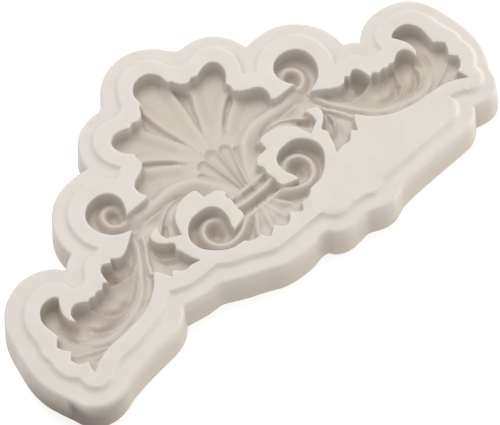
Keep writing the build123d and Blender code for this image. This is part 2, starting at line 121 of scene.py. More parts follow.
rimLowerRight = [
    [(91.0, -12.3), (91.1, -15.4), (89.9, -18.0), (87.0, -19.3), (83.8, -19.0), (80.6, -17.0),
     (76.2, -15.8)],
    [(76.2, -15.8), (76.3, -18.2), (74.9, -21.2), (71.8, -23.1), (66.0, -23.5), (54.0, -23.9),
     (44.0, -24.3), (36.8, -24.7), (33.6, -25.8), (30.6, -26.3), (27.2, -25.2), (22.5, -24.8),
     (17.4, -25.0), (14.2, -23.7), (11.3, -20.3)],
]
rimLowerLeft = [
    [(11.3, -20.3), (4.0, -20.3), (-4.0, -20.5), (-9.5, -20.3), (-14.0, -18.5), (-19.0, -16.1),
     (-24.0, -14.2), (-28.5, -10.9)],
    [(-28.5, -10.9), (-32.0, -11.0), (-36.5, -11.0), (-42.0, -10.2), (-47.7, -7.8)],
    [(-47.7, -7.8), (-52.0, -10.3), (-57.0, -12.8), (-63.0, -14.5), (-70.0, -15.6),
     (-77.0, -16.3), (-81.5, -18.0), (-84.4, -19.6), (-88.0, -19.7), (-90.6, -17.4),
     (-91.2, -14.8), (-91.0, -12.3)],
]

# Outer edge of the ledge, clockwise from the crown's top. The mould was trimmed by hand, so the two
# wings and the foot differ.
ledgeEdge = [
    [(0, 72.8), (4.4, 72.2), (8.8, 70.3), (12.5, 67.4), (14.9, 64.3), (17.8, 61.6), (21.6, 61.3),
     (25.4, 60.7), (29.2, 59.1), (32.5, 56.3), (34.7, 52.6), (35.8, 49.4), (36.3, 46.4)],
    [(36.3, 46.4), (39.6, 46.9), (43.6, 47.0), (47.8, 46.5), (52.0, 45.0), (56.0, 42.3),
     (59.3, 38.5), (61.5, 34.2), (62.4, 29.6), (62.3, 25.0)],
    [(62.3, 25.0), (65.7, 23.2), (68.4, 20.9)],
    [(68.4, 20.9), (71.0, 23.2), (74.4, 25.4), (78.4, 26.4), (82.6, 26.4), (87.0, 25.4),
     (91.3, 23.3), (94.6, 19.9), (96.7, 15.6), (98.0, 10.6), (99.1, 4.6), (99.5, -1.6),
     (99.1, -7.0), (97.4, -12.2), (95.3, -16.4), (94.0, -20.2), (91.6, -23.7), (88.0, -25.4),
     (84.0, -25.2), (80.4, -24.4)],
    [(80.4, -24.4), (77.8, -26.8), (74.6, -28.6), (70.0, -29.1), (60.0, -29.4), (50.0, -29.8),
     (41.0, -30.5), (37.4, -31.7), (34.3, -32.8), (31.0, -32.8), (27.8, -31.8), (24.2, -30.4),
     (20.0, -30.6), (16.4, -31.0), (13.2, -30.5), (10.6, -29.0), (8.8, -26.9), (5.6, -26.4),
     (0.0, -27.4), (-6.0, -27.4), (-11.6, -26.4), (-17.0, -24.0), (-23.0, -21.6), (-28.0, -19.2),
     (-32.4, -17.3), (-38.0, -17.0), (-43.0, -16.2), (-47.4, -15.4)],
    [(-47.4, -15.4), (-51.0, -18.8), (-56.0, -20.9), (-64.0, -21.9), (-72.0, -22.9),
     (-79.0, -24.3), (-84.0, -25.9), (-88.6, -26.3), (-93.0, -25.0), (-96.6, -21.6),
     (-98.3, -17.2), (-100.2, -12.0), (-101.6, -7.0), (-101.9, -1.0), (-101.2, 4.0),
     (-100.1, 9.0), (-98.9, 14.0), (-96.6, 19.4), (-92.8, 24.0), (-87.6, 27.1), (-82.0, 28.4),
     (-76.4, 27.5), (-71.6, 24.9), (-68.4, 20.9)],
    [(-68.4, 20.9), (-65.7, 23.2), (-62.3, 25.0)],
    [(-62.3, 25.0), (-62.4, 29.6), (-61.5, 34.2), (-59.3, 38.5), (-56.0, 42.3), (-52.0, 45.0),
     (-47.8, 46.5), (-43.6, 47.0), (-39.6, 46.9), (-36.3, 46.4)],
    [(-36.3, 46.4), (-35.8, 49.4), (-34.7, 52.6), (-32.5, 56.3), (-29.2, 59.1), (-25.4, 60.7),
     (-21.6, 61.3), (-17.8, 61.6), (-14.9, 64.3), (-12.5, 67.4), (-8.8, 70.3), (-4.4, 72.2),
     (0, 72.8)],
]

# Floor of the sunk crest, right half: x, y and depth below the rim. Between these the floor blends.
floorDepths = [
    # shell
    (0, 57, 6.4), (0, 46, 6.2), (0, 36, 5.9), (0, 29.5, 5.3), (17, 44, 6.3), (10, 36, 6.1),
    (6, 30, 5.4), (24, 29, 6.4), (16, 28.5, 5.9), (22, 46, 6.5), (7.5, 50, 6.6), (26, 29, 6.6),
    # palmette
    (0, 27.6, 5.0), (6, 27.0, 5.0), (0, 23, 5.0), (5.2, 22, 5.0), (8.2, 20, 5.0), (0, 14, 4.9),
    (0, 8, 4.8), (6, 12, 5.2), (11, 18.5, 5.6),
    # strand and upper scroll
    (20, 21.5, 5.2), (30, 21, 5.3), (38, 21, 5.6), (7, 7.5, 4.6),
    (46, 24, 6.4), (41.4, 28.6, 6.6), (44, 34.5, 6.6), (38, 32, 6.4), (48.5, 29, 7.0),
    # tie and fan
    (0, 3.4, 5.0), (0, -0.9, 5.0), (7, 3.4, 4.2), (7, -1.0, 4.4),
    (0, -7, 3.7), (0, -12, 4.2), (6.5, -12.5, 4.2),
    # lower scroll
    (9, -8, 5.6), (13, -10.5, 5.8), (18.8, -0.5, 6.8), (26.5, 0, 7.0), (20, 7.2, 6.6), (21, -9, 5.6),
    # folded leaf below the strand, then the small leaf
    (26, 15, 3.8), (31, 10.5, 4.6), (36.5, 15, 4.0),
    (39, 4, 6.2), (36, -3, 5.4), (43.5, 2, 4.6),
    # long leaf, from its stem to the tip
    (47, 13.5, 5.6), (53, 11, 6.7), (58, 11, 7.4), (46, 7, 4.9),
    (58, 3, 6.4), (65, 3, 7.0), (62, 0, 7.0), (70, 4, 7.2), (75, 6.5, 7.4), (72, -1, 6.8),
    (52, -3, 4.6), (60, -6, 4.6), (70, -8.5, 5.0), (78, -7, 5.8), (82, 3, 6.4), (83.5, 12, 7.3),
    (80, -2, 5.6), (88, 1, 6.2), (87.5, -7, 5.6), (85.5, -12, 4.6),
]

# Bands left standing in the floor with a rounded top: points with the depth of the top, then how
# far the slope runs to the left and to the right of the line's direction.
bands = [
    # shell, either side of each narrow groove
    ([(6.4, 54.2, 5.0), (5.6, 48, 5.3), (4.6, 42, 5.2), (3.3, 36, 5.0), (2.6, 31, 4.8),
      (2.2, 28, 4.8)], 1.5, 4.4),
    ([(10.2, 49.9, 4.6), (11.2, 47.2, 5.1), (9.8, 44, 5.2), (8.2, 41.4, 5.1), (7.0, 38.4, 5.1),
      (5.5, 35.3, 5.0), (3.8, 31.4, 4.9)], 4.4, 1.4),
    ([(21.3, 38.6, 4.8), (19.2, 38.2, 5.1), (16, 36, 5.1), (13.2, 33.6, 5.0), (10.9, 31.4, 4.9),
      (8.2, 28, 4.8)], 1.4, 4.4),
    ([(21.3, 36.2, 4.8), (20.2, 34.6, 5.1), (17.8, 33.4, 5.1), (14.5, 31.2, 5.0), (11, 28.2, 4.9)],
     4.4, 1.4),
    # strand that sweeps from the tie to the upper scroll
    ([(3.6, 7.4, 3.9), (4.2, 8.8, 3.8), (5.3, 11.4, 3.7), (6.9, 14.0, 3.7), (9.1, 17.2, 3.6),
      (11.4, 19.8, 3.6), (13.8, 21.2, 3.6), (17, 22.4, 3.6), (21.5, 23.1, 3.7), (27, 22.8, 3.6),
      (32, 22.2, 3.5), (37, 23.0, 3.4)], 3.2, 5.0),
    # tie band: its edge towards the shell, then its two bars
    ([(0, 6.0, 4.2), (4, 6.0, 3.9), (8.4, 5.9, 3.0)], 2.0, 1.1),
    ([(0, 1.6, 2.9), (3, 1.6, 2.8), (6, 1.6, 2.3), (9.2, 1.8, 1.0)], 2.2, 2.0),
    ([(0, -3.0, 3.3), (3, -3.0, 3.2), (8.8, -3.3, 2.0)], 1.3, 2.6),
    # fan
    ([(3.4, -12.4, 3.7), (2.4, -9, 3.4), (1.2, -5, 3.3), (0.8, -2.6, 3.2)], 1.7, 1.7),
    ([(3.4, -2.6, 3.2), (5.0, -5.5, 3.4), (7.5, -8.5, 3.7), (9.4, -12.4, 3.9)], 1.8, 2.4),
    # lower scroll: from under the tie round the eye
    ([(9.0, -4.2, 1.6), (12.5, -6.2, 2.0), (16.6, -7.2, 2.4), (20.4, -6.2, 2.8), (22.9, -3.4, 3.1),
      (23.6, -0.2, 3.3), (22.3, 2.9, 3.5), (19.6, 4.5, 3.8), (16.9, 4.2, 4.2), (14.9, 2.6, 4.8),
      (14.4, 0.4, 5.6)], 2.3, 3.3),
    # upper scroll round its eye
    ([(37.4, 24.2, 2.8), (39.6, 23.4, 3.4), (42.2, 23.8, 3.8), (44.4, 25.6, 4.0), (45.1, 28.2, 4.2),
      (44.1, 30.9, 4.5), (41.8, 32.1, 4.8), (39.4, 31.5, 5.2), (38.0, 29.6, 5.8)], 2.2, 3.0),
    # leaf: the two veins from the stem
    ([(41.5, 18.0, 3.4), (43.6, 12.6, 3.4), (46.6, 8.1, 3.5), (49.2, 4.6, 3.6), (51.8, 1.1, 3.8),
      (54.8, -1.9, 4.0), (59, -4.2, 4.2), (64, -5.8, 4.4), (70, -6.9, 4.6), (75, -6.4, 4.9),
      (78.6, -4.0, 5.3), (80.6, -1.0, 5.9)], 2.9, 1.9),
    ([(39.6, 14.5, 3.2), (41.8, 10.6, 3.3), (44.6, 6.4, 3.4), (46.4, 2.6, 3.2)], 1.7, 1.7),
]

# Edges of folded layers: as the bands, with a sharp top
edges = [
    # folded leaf below the strand
    ([(13.6, 16.2, 2.4), (17, 17.7, 2.8), (22, 18.5, 3.0), (28, 18.3, 3.0), (34, 18.3, 3.2),
      (38, 18.2, 3.6), (41.5, 18.3, 3.4)], 0.7, 3.5),
    ([(22, 18.3, 3.0), (26, 17.4, 2.8), (30, 15.2, 2.8), (33, 12.6, 2.8), (34.6, 11.4, 2.6)],
     2.6, 1.0),
    # leaf: hem of the first lobe
    ([(47.6, 9.0, 4.0), (51.3, 7.3, 4.5), (54.8, 7.0, 4.6), (57.8, 7.6, 4.6), (60.9, 8.6, 4.2)],
     1.1, 4.2),
    # second lobe
    ([(50.6, 4.6, 4.2), (54.0, 1.4, 4.3), (57, -0.6, 4.4), (60.3, -1.8, 4.5), (64, -2.1, 4.5),
      (66.8, -1.1, 4.5), (68.4, 0.4, 4.6)], 1.1, 4.4),
    ([(68.4, 0.4, 4.6), (68.8, 2.6, 5.2), (70.0, 4.8, 5.6), (71.0, 7.5, 5.9)], 1.1, 3.6),
    # third lobe
    ([(60.5, -3.6, 4.2), (65.6, -5.4, 4.3), (69.6, -5.0, 4.4), (73.2, -3.7, 4.5),
      (75.8, -1.6, 4.6), (77.0, 0.6, 4.7)], 1.1, 4.0),
    ([(77.0, 0.6, 4.7), (77.2, 2.6, 5.0), (78.8, 4.2, 5.0)], 0.9, 3.4),
    # hook: the strips that run down to the tip
    ([(87.6, -3.0, 5.0), (84.6, -4.6, 4.9), (81.0, -6.4, 4.8), (76.5, -8.4, 4.6)], 2.2, 1.8),
    ([(85.4, -10.0, 4.2), (82.0, -9.4, 4.5), (78.0, -9.2, 4.4)], 1.6, 1.4),
    # small leaf, its two layers
    ([(34.8, 1.6, 3.2), (36.8, 2.0, 3.6), (39.0, 3.0, 3.7), (40.6, 5.2, 3.7), (40.9, 8.4, 3.6)],
     0.9, 2.6),
]

# Hollows sunk deeper than the floor: points with the extra depth, then the reach to each side
hollows = [
    ([(18.9, 0.4, 2.2), (18.7, -1.0, 2.2)], 2.9, 2.9),  # eye of the lower scroll
    ([(41.2, 28.6, 1.8), (41.3, 27.6, 1.8)], 2.6, 2.6),  # eye of the upper scroll
    ([(0, 4.2, 1.2), (5, 4.2, 1.3), (8.4, 4.3, 1.5)], 1.3, 1.3),
    ([(0, -1.0, 1.3), (5, -1.0, 1.3), (9.0, -1.4, 1.6)], 1.6, 1.6),
    ([(13.5, 14.0, 0.4), (17, 16.6, 0.8), (22, 19.6, 0.9), (28, 19.6, 0.9), (34, 19.6, 0.8)],
     2.2, 0.6),
    ([(57.4, 10.4, 0.8), (58.6, 11.4, 0.8)], 2.4, 2.4),
    ([(33.0, 10.6, 1.2), (31.4, 13.0, 1.0)], 1.6, 1.6),
    # narrow grooves of the shell
    ([(8.4, 52.4, 1.0), (8.3, 47.5, 0.9), (7.2, 42.8, 0.8), (5.8, 38, 0.7), (4.3, 33.6, 0.5),
      (3.0, 30.2, 0.2)], 2.0, 2.0),
    ([(21.8, 37.4, 1.0), (18.8, 35.9, 0.9), (15.4, 33.6, 0.8), (12.2, 31.0, 0.7), (9.4, 28.4, 0.3)],
     1.9, 1.9),
    # inside the hems of the leaf's three lobes
    ([(50.6, 8.6, 0.2), (54.8, 8.4, 0.8), (57.4, 9.0, 1.0), (59.4, 9.9, 0.8)], 2.4, 1.1),
    ([(56.0, 1.6, 0.2), (60.5, -0.3, 0.8), (63.8, -0.6, 1.1), (66.0, 0.3, 1.2), (67.0, 1.6, 0.8)],
     2.6, 1.2),
    ([(65.0, -4.0, 0.2), (69.4, -3.5, 0.8), (72.4, -2.4, 1.1), (74.6, -0.6, 1.2), (75.6, 1.2, 0.8)],
     2.2, 1.2),
    # fine flutes that give the lobes their grain
    ([(54.0, -5.0, 0.4), (60, -8.0, 0.4), (68, -9.2, 0.4), (76, -9.4, 0.4)], 1.0, 1.0),
    ([(82.6, 8.0, 0.5), (82.8, 3.0, 0.7), (81.4, -0.6, 0.7), (78.4, -4.4, 0.6)], 1.3, 1.3),
]

# Petals of the small palmette, each sunk with a rounded end: points with the half width
petals = [
    [(0, 7.0, 0.4), (0, 15, 1.35), (0, 24.0, 2.6)],
    [(1.2, 6.8, 0.4), (2.8, 14.0, 1.25), (5.0, 22.4, 2.4)],
    [(2.4, 7.0, 0.4), (4.8, 12.6, 1.1), (8.3, 19.3, 2.1)],
]

# How the lists above turn into depth
relief = {
    "floorFalloff": 3.5,  # how sharply one floor depth gives way to the next
    "floorBlend": 4.0,  # and how level the floor stays round each point
    "curveStep": 0.8,  # spacing of points along bands, edges, hollows and petals
    "petalDepth": 1.1,
    "petalReach": 3,  # a little more than the widest petal's half width
}

# How finely the skin is divided. Levels are offsets from an outline, inwards positive; the lines
# drawn there carry points, and the grids keep clear of them.
meshing = {
    "outlineStep": 0.4,  # spacing of points along the outlines
    "fineStep": 0.06,  # and where distances are measured from
    "cell": 0.2,  # cell of the distance field that the offset lines are drawn from
    "reach": 2.6,  # farthest offset line
    "shortestLoop": 14,  # scraps of offset line with fewer points are dropped
    "rowShare": 0.866,  # row height of a grid of equal triangles
    "crestGrid": 0.36,  # spacing of points in the sunk crest
    "flatGrid": 1.3,  # spacing on the rim and the ledge
    "undersideGrid": 8.0,
    "crestLevels": (-0.4, -0.2, 0.15, 0.4, 0.8),  # over the lip and down the wall
    "rimLevels": (0.36, 0.05, -0.3, -0.65, -1.1, -1.6, -2.3),  # across the step
    "ledgeLevels": (1.3, 0.8, 0.4, 0.1, -0.2, -0.5, -0.85, -1.2),  # round the edge, down the wall
    "crestClear": 0.22,
    "lipClear": 0.9,
    "stepClear": (0.9, 2.8),
    "edgeClear": 2.0,
    "undersideClear": 1.0,
    "weld": 2e-6,  # metres
    "sharpAngle": 48,  # degrees
}


def curveThrough(points, step):
    # smooth curve through every point, in whichever number of columns the points have
    points = np.array(points, float)
    ends = np.vstack([2 * points[0] - points[1], points, 2 * points[-1] - points[-2]])
    line = [points[:1]]
    for before, start, stop, after in zip(ends, ends[1:], ends[2:], ends[3:]):
        count = max(2, math.ceil(np.linalg.norm((stop - start)[:2]) / step))
        t = (np.arange(1, count + 1) / count)[:, None]
        line.append(0.5 * (2 * start + (stop - before) * t
                           + (2 * before - 5 * start + 4 * stop - after) * t ** 2
                           + (3 * start - before - 3 * stop + after) * t ** 3))
    return np.vstack(line)


def closedLoop(stretches, step):
    return np.vstack([curveThrough(stretch, step)[:-1] for stretch in stretches])


def mirrored(stretches):
    return [[(-x, y) for x, y in reversed(stretch)] for stretch in reversed(stretches)]


class Outline:
    # one closed outline, the distance to it (positive inside) and its offset lines
    def __init__(self, stretches):
        self.loop = closedLoop(stretches, meshing["outlineStep"])
        fine = closedLoop(stretches, meshing["fineStep"])
        self.tree = kdtree.KDTree(len(fine))
        for index, (x, y) in enumerate(fine):
            self.tree.insert((x, y, 0), index)
        self.tree.balance()
        cell, reach = meshing["cell"], meshing["reach"]
        self.low = fine.min(axis=0) - reach - 3 * cell
        self.size = np.ceil((fine.max(axis=0) + reach + 3 * cell - self.low) / cell).astype(int)
        spread = math.ceil(reach / cell) + 1
        nearest = np.full(self.size, reach * 2)
        home = np.floor((fine - self.low) / cell).astype(int)
        for i in range(-spread, spread + 1):
            for j in range(-spread, spread + 1):
                place = home + (i, j)
                gap = np.hypot(*(self.low + place * cell - fine).T)
                np.minimum.at(nearest, (place[:, 0], place[:, 1]), gap)
        self.field = np.where(self.insideCells(), nearest, -nearest)

    def insideCells(self):
        cell = meshing["cell"]
        columns = self.low[0] + np.arange(self.size[0]) * cell
        after = np.roll(self.loop, -1, axis=0)
        inside = np.zeros(self.size, bool)
        for row in range(self.size[1]):
            y = self.low[1] + row * cell
            crossed = (self.loop[:, 1] > y) != (after[:, 1] > y)
            a, b = self.loop[crossed], after[crossed]
            cuts = np.sort(a[:, 0] + (y - a[:, 1]) * (b[:, 0] - a[:, 0]) / (b[:, 1] - a[:, 1]))
            inside[:, row] = np.searchsorted(cuts, columns) % 2 == 1
        return inside

    def cellAt(self, points, rounding):
        cells = rounding((points - self.low) / meshing["cell"]).astype(int)
        column, row = np.clip(cells, 0, self.size - 1).T
        return self.field[column, row]

    def distance(self, points):
        gaps = np.array([self.tree.find((x, y, 0))[2] for x, y in points])
        return gaps * np.where(self.cellAt(points, np.rint) > 0, 1.0, -1.0)

    def roughDistance(self, points):
        return self.cellAt(points, np.trunc)

    def grid(self, spacing):
        high = self.low + self.size * meshing["cell"]
        columns = np.arange(self.low[0], high[0], spacing)
        rows = np.arange(self.low[1], high[1], spacing * meshing["rowShare"])
        x, y = np.meshgrid(columns, rows)
        x = x + (np.arange(len(rows)) % 2)[:, None] * spacing / 2
        return np.column_stack([x.ravel(), y.ravel()])

    def offset(self, level):
        # closed lines along which the distance is one value
        above = self.field > level
        links = {}
        mixed = above[:-1, :-1].astype(int) + above[1:, :-1] + above[1:, 1:] + above[:-1, 1:]
        for i, j in zip(*np.nonzero((mixed > 0) & (mixed < 4))):
            corners = [(i, j), (i + 1, j), (i + 1, j + 1), (i, j + 1)]
            state = [above[c] for c in corners]
            ends = {"out": [], "in": []}
            for k in range(4):
                if state[k] != state[(k + 1) % 4]:
                    side = tuple(sorted([corners[k], corners[(k + 1) % 4]]))
                    ends["out" if state[k] else "in"].append(side)
            for start, stop in zip(ends["out"], ends["in"]):
                links[start] = stop
        loops = []
        while links:
            start, side = links.popitem()
            chain = [start]
            while side in links:
                chain.append(side)
                side = links.pop(side)
            if side == start:
                loops.append(np.array([self.crossing(s, level) for s in chain]))
        spacing = max(1, round(meshing["outlineStep"] / meshing["cell"]))
        return [loop[::spacing] for loop in loops if len(loop) > meshing["shortestLoop"]]

    def offsets(self, levels):
        return [loop for level in levels for loop in self.offset(level)]

    def crossing(self, side, level):
        (i0, j0), (i1, j1) = side
        a, b = self.field[i0, j0], self.field[i1, j1]
        t = (level - a) / (b - a)
        return self.low + meshing["cell"] * np.array([i0 + t * (i1 - i0), j0 + t * (j1 - j0)])


def nearLine(spots, line, reach):
    # which spots are near a line, how far off, on which side, and the line's third value there
    low, high = line[:, :2].min(axis=0) - reach, line[:, :2].max(axis=0) + reach
    near = np.nonzero(((spots > low) & (spots < high)).all(axis=1))[0]
    spots = spots[near]
    best = np.full(len(near), np.inf)
    side = np.ones(len(near))
    value = np.zeros(len(near))
    for a, b in zip(line[:-1], line[1:]):
        along = (b - a)[:2]
        away = spots - a[:2]
        t = np.clip(away @ along / (along @ along), 0, 1)
        gap = away - t[:, None] * along
        distance = np.hypot(*gap.T)
        closer = distance < best
        best[closer] = distance[closer]
        turn = along[0] * away[:, 1] - along[1] * away[:, 0]
        side[closer] = np.sign(turn[closer])
        value[closer] = (a[2] + t * (b[2] - a[2]))[closer]
    return near, best, side, value


def reliefDepth(points):
    spots = np.column_stack([np.abs(points[:, 0]), points[:, 1]])  # both halves are alike
    weightSum = np.zeros(len(spots))
    depthSum = np.zeros(len(spots))
    for x, y, depth in floorDepths:
        gap = np.hypot(spots[:, 0] - x, spots[:, 1] - y)
        weight = 1 / (gap ** relief["floorFalloff"] + relief["floorBlend"])
        weightSum += weight
        depthSum += weight * depth
    floor = depthSum / weightSum

    def shareAlong(line, leftReach, rightReach):
        # 0 on the line, 1 where the slope to that side ends
        curve = curveThrough(line, relief["curveStep"])
        near, distance, side, value = nearLine(spots, curve, max(leftReach, rightReach))
        return near, np.clip(distance / np.where(side > 0, leftReach, rightReach), 0, 1), value

    ground = floor.copy()
    for line, *reaches in hollows:
        near, share, extra = shareAlong(line, *reaches)
        ground[near] += extra * (1 - share ** 2) ** 2
    for line in petals:
        curve = curveThrough(line, relief["curveStep"])
        near, distance, side, halfWidth = nearLine(spots, curve, relief["petalReach"])
        inward = np.clip(1 - distance / halfWidth, 0, 1)
        petal = floor[near] + relief["petalDepth"] * (1 - (1 - inward) ** 3)
        ground[near] = np.maximum(ground[near], petal)
    depth = ground.copy()
    for line, *reaches in bands:
        near, share, top = shareAlong(line, *reaches)
        band = ground[near] - (ground[near] - top) * (1 - share ** 2) ** 2
        depth[near] = np.minimum(depth[near], band)
    for line, *reaches in edges:
        near, share, top = shareAlong(line, *reaches)
        fold = ground[near] - (ground[near] - top) * (1 - share) ** 2
        depth[near] = np.minimum(depth[near], fold)
    return depth


mould = {
    "step": 1.2,  # rim down to the ledge
    "stepTop": 0.35,  # the step starts this far inside the rim's outline
    "stepRun": 1.9,  # and slopes off over this width
    "stepBend": 1.8,  # above 1 its upper part is the steeper one
    "ledgeDip": 0.1,  # liquid silicone settled a little hollow between the step and the edge
    "dipRun": 1.6,  # and levels out over this width
    "topRadius": 1.3,  # rounded outer edge of the ledge
    "edgeTurn": 0.95,  # sine of the angle that the rounding turns through before the wall starts
    "draft": 1.2,  # the outer wall leans out this much by the underside
    "straighter": 0.9,  # this much less lean, at most, at the back and the left end
    "straightFrom": -18.0,  # the lean starts to lessen behind this line
    "straightBlend": 20.0,  # and is least this far behind it
    "straightDrop": 16.0,  # at the left end the line lies this much nearer the front
    "leftFrom": 60.0,  # the left end starts this far from the middle
    "leftBlend": 30.0,
    "footCut": 0.4,  # the wall's last bit drops straight to the underside
    "lip": 0.4,  # radius round the top of the sunk crest
    "wallStart": 0.06,  # the wall of the sunk crest starts this far inside its outline
    "wallRun": 1.1,  # and has this width
    "footRun": 3.4,  # its foot fills out over this width
    "footShare": 0.13,
    "waviness": 0.05,  # the poured top isn't quite level
    "waveLength": 7.0,
}


def ripple(x, y, length):
    # slow, irregular swell between about -1.5 and 1.5
    bent = x / length + 1.3 * np.sin(y / length * 0.7)
    across = y / length * 1.1 + x / length * 0.4
    return np.sin(bent) * np.cos(across) + 0.5 * np.sin(2.3 * x / length - 1.7 * y / length)


def topHeight(points):
    x, y = points.T
    leftness = np.clip((-x - mould["leftFrom"]) / mould["leftBlend"], 0, 1)
    start = mould["straightFrom"] - mould["straightDrop"] * leftness
    straighter = mould["straighter"] * np.clip((y - start) / mould["straightBlend"], 0, 1)
    fromLedge = ledgeOutline.distance(points) + straighter
    fromRim = rimOutline.distance(points) + straighter
    fromCrest = crestOutline.distance(points)

    # rim, step and ledge
    dip = mould["ledgeDip"] * np.exp(-np.clip(-fromRim - mould["stepRun"], 0, 99) / mould["dipRun"])
    step = np.clip((mould["stepTop"] - fromRim) / mould["stepRun"], 0, 1)
    step = 1 - (1 - step) ** mould["stepBend"]
    height = rimTop - (mould["step"] + dip) * step

    # rounded edge and outer wall
    radius, turn = mould["topRadius"], mould["edgeTurn"]
    inset = np.clip(radius - fromLedge, 0, radius)
    height -= radius - np.sqrt(radius ** 2 - (turn * inset) ** 2)
    wallTop = rimTop - mould["step"] - radius * (1 - math.sqrt(1 - turn ** 2))
    outerWall = wallTop * np.clip(1 + fromLedge / (mould["draft"] - straighter), 0, 1)
    outerWall = np.where(outerWall < mould["footCut"], 0, outerWall)
    height = np.where(fromLedge < 0, outerWall, height)
    flat = (fromLedge > radius) & (fromCrest < 0)
    swell = -0.5 * mould["waviness"] * (1.5 + ripple(x, y, mould["waveLength"]))
    height += np.where(flat, swell, 0)

    # the crest: lip, wall, foot and floor
    wall = np.clip((fromCrest - mould["wallStart"]) / mould["wallRun"], 0, 1)
    wall = np.sqrt(1 - (1 - wall) ** 2)
    foot = np.clip(fromCrest / mould["footRun"], 0, 1)
    foot = foot * (2 - foot)
    share = (1 - mould["footShare"]) * wall + mould["footShare"] * foot
    lip = mould["lip"]
    depth = lip - np.sqrt(lip ** 2 - np.clip(lip + fromCrest, 0, lip) ** 2)
    sunk = fromCrest > -1e-3
    depth[sunk] = lip + (reliefDepth(points[sunk]) - lip) * share[sunk]
    return height - depth


def triangulate(loops, spots):
    points, sides = [], []
    for loop in loops:
        first, count = len(points), len(loop)
        points.extend(loop)
        sides.extend((first + k, first + (k + 1) % count) for k in range(count))
    points.extend(spots)
    vectors = [Vector((float(x), float(y))) for x, y in points]
    places, _, faces, *_ = delaunay_2d_cdt(vectors, sides, [], 1, 1e-5)
    return np.array([(p.x, p.y) for p in places]), np.array(faces)


print("outlines of the crest, the rim and the ledge")
crestOutline = Outline(crestEdge + mirrored(crestEdge))
rimOutline = Outline(rimUpper + rimLowerRight + rimLowerLeft + mirrored(rimUpper))
ledgeOutline = Outline(ledgeEdge)

print("top face and outer wall")
loops = [crestOutline.loop] + crestOutline.offsets(meshing["crestLevels"])
loops += rimOutline.offsets(meshing["rimLevels"]) + ledgeOutline.offsets(meshing["ledgeLevels"])
crestSpots = crestOutline.grid(meshing["crestGrid"])
deepest = meshing["crestLevels"][-1] + meshing["crestClear"]
crestSpots = crestSpots[crestOutline.roughDistance(crestSpots) > deepest]
flatSpots = ledgeOutline.grid(meshing["flatGrid"])
clear = ledgeOutline.roughDistance(flatSpots) > meshing["edgeClear"]
clear &= crestOutline.roughDistance(flatSpots) < -meshing["lipClear"]
rimGap = rimOutline.roughDistance(flatSpots)
clear &= (rimGap > meshing["stepClear"][0]) | (rimGap < -meshing["stepClear"][1])
topPlan, topFaces = triangulate(loops, list(crestSpots) + list(flatSpots[clear]))
topZ = topHeight(topPlan)

print("underside")
baseSpots = ledgeOutline.grid(meshing["undersideGrid"])
baseSpots = baseSpots[ledgeOutline.roughDistance(baseSpots) > meshing["undersideClear"]]
basePlan, baseFaces = triangulate(ledgeOutline.offset(-mould["draft"]), list(baseSpots))
baseZ = np.zeros(len(basePlan))

topCount = len(topPlan)
corners = np.vstack([np.column_stack([topPlan, topZ]), np.column_stack([basePlan, baseZ])]) * mm
faces = [tuple(int(v) for v in face) for face in topFaces]
faces += [tuple(int(v) + topCount for v in face[::-1]) for face in baseFaces]
skinMesh = bpy.data.meshes.new("mouldSkin")
skinMesh.from_pydata([tuple(c) for c in corners], [], faces)

# Painted shade in the skin's colour: darker deeper in the sunk crest, down the outer wall and underneath,
# and dark brown on the front left corner's wall
paintedShade = {
    "fullShadeDepth": 6.0,  # at this depth in the crest the painted shade is full
    "wallShadeShare": 1.2,  # painted shade on the outer wall and underneath, as a share of the crest's full shade
    "wallShadeFade": 3,  # the painted shade thins out over the top third of the wall
    "cornerShadeAt": (-101, -16),  # the front left corner's wall, where dark brown shade is painted
    "cornerShadeReach": 23,
    "cornerShadeFade": 3.5,
    "cornerShadeShare": 0.95,
}
inCrest = crestOutline.distance(topPlan) > 0.05
wallHeight = rimTop - mould["step"] - mould["ledgeDip"]
# painted shade: the sunk crest darker the deeper it is, the outer wall darker towards its foot, the
# underside dark
shadeShare = np.full(len(corners), paintedShade["wallShadeShare"])
# painted shade down the outer wall, fading out over its top third
wallShade = paintedShade["wallShadeShare"] * np.clip(paintedShade["wallShadeFade"] * (1 - topZ / wallHeight), 0, 1)
shadeShare[:topCount] = np.where(inCrest, (rimTop - topZ) / paintedShade["fullShadeDepth"], wallShade)
# painted shade on the front left corner's wall, strongest towards its foot
gap = np.linalg.norm(corners[:, :2] / mm - paintedShade["cornerShadeAt"], axis=1) / paintedShade["cornerShadeReach"]
cornerShade = np.clip(1 - gap ** 2, 0, 1)
cornerShade *= np.clip(paintedShade["cornerShadeFade"] * (1 - corners[:, 2] / mm / wallHeight), 0, 1)
cornerShade[:topCount][inCrest] = 0
for name, values in (("paintedShadeShare", shadeShare), ("cornerShadeTint", paintedShade["cornerShadeShare"] * cornerShade)):
    layer = skinMesh.attributes.new(name, "FLOAT", "POINT")
    layer.data.foreach_set("value", values.astype(np.float32))

built = bmesh.new()
built.from_mesh(skinMesh)
bmesh.ops.remove_doubles(built, verts=built.verts, dist=meshing["weld"])
openEdges = sum(1 for e in built.edges if len(e.link_faces) != 2)
print("skin sewn:", len(built.faces), "faces,", openEdges, "open edges")
built.to_mesh(skinMesh)
built.free()
skinMesh.shade_smooth()
skinMesh.set_sharp_from_angle(angle=math.radians(meshing["sharpAngle"]))
skin = bpy.data.objects.new("mouldSkin", skinMesh)
bpy.context.scene.collection.objects.link(skin)


def linearColour(code):
    channels = [int(code[k:k + 2], 16) / 255 for k in (1, 3, 5)]
    return tuple(c / 12.92 if c <= 0.04045 else ((c + 0.055) / 1.055) ** 2.4 for c in channels) + (1.0,)


def addNode(tree, kind, settings=None, **links):
    node = tree.nodes.new(kind)
    for name, value in (settings or {}).items():
        if name in node.inputs:
            node.inputs[name].default_value = value
        else:
            setattr(node, name, value)
    for name, source in links.items():
        tree.links.new(source, node.inputs[name])
    return node


def setSockets(shader, values):
    for name, value in values.items():
        shader.inputs[name].default_value = value


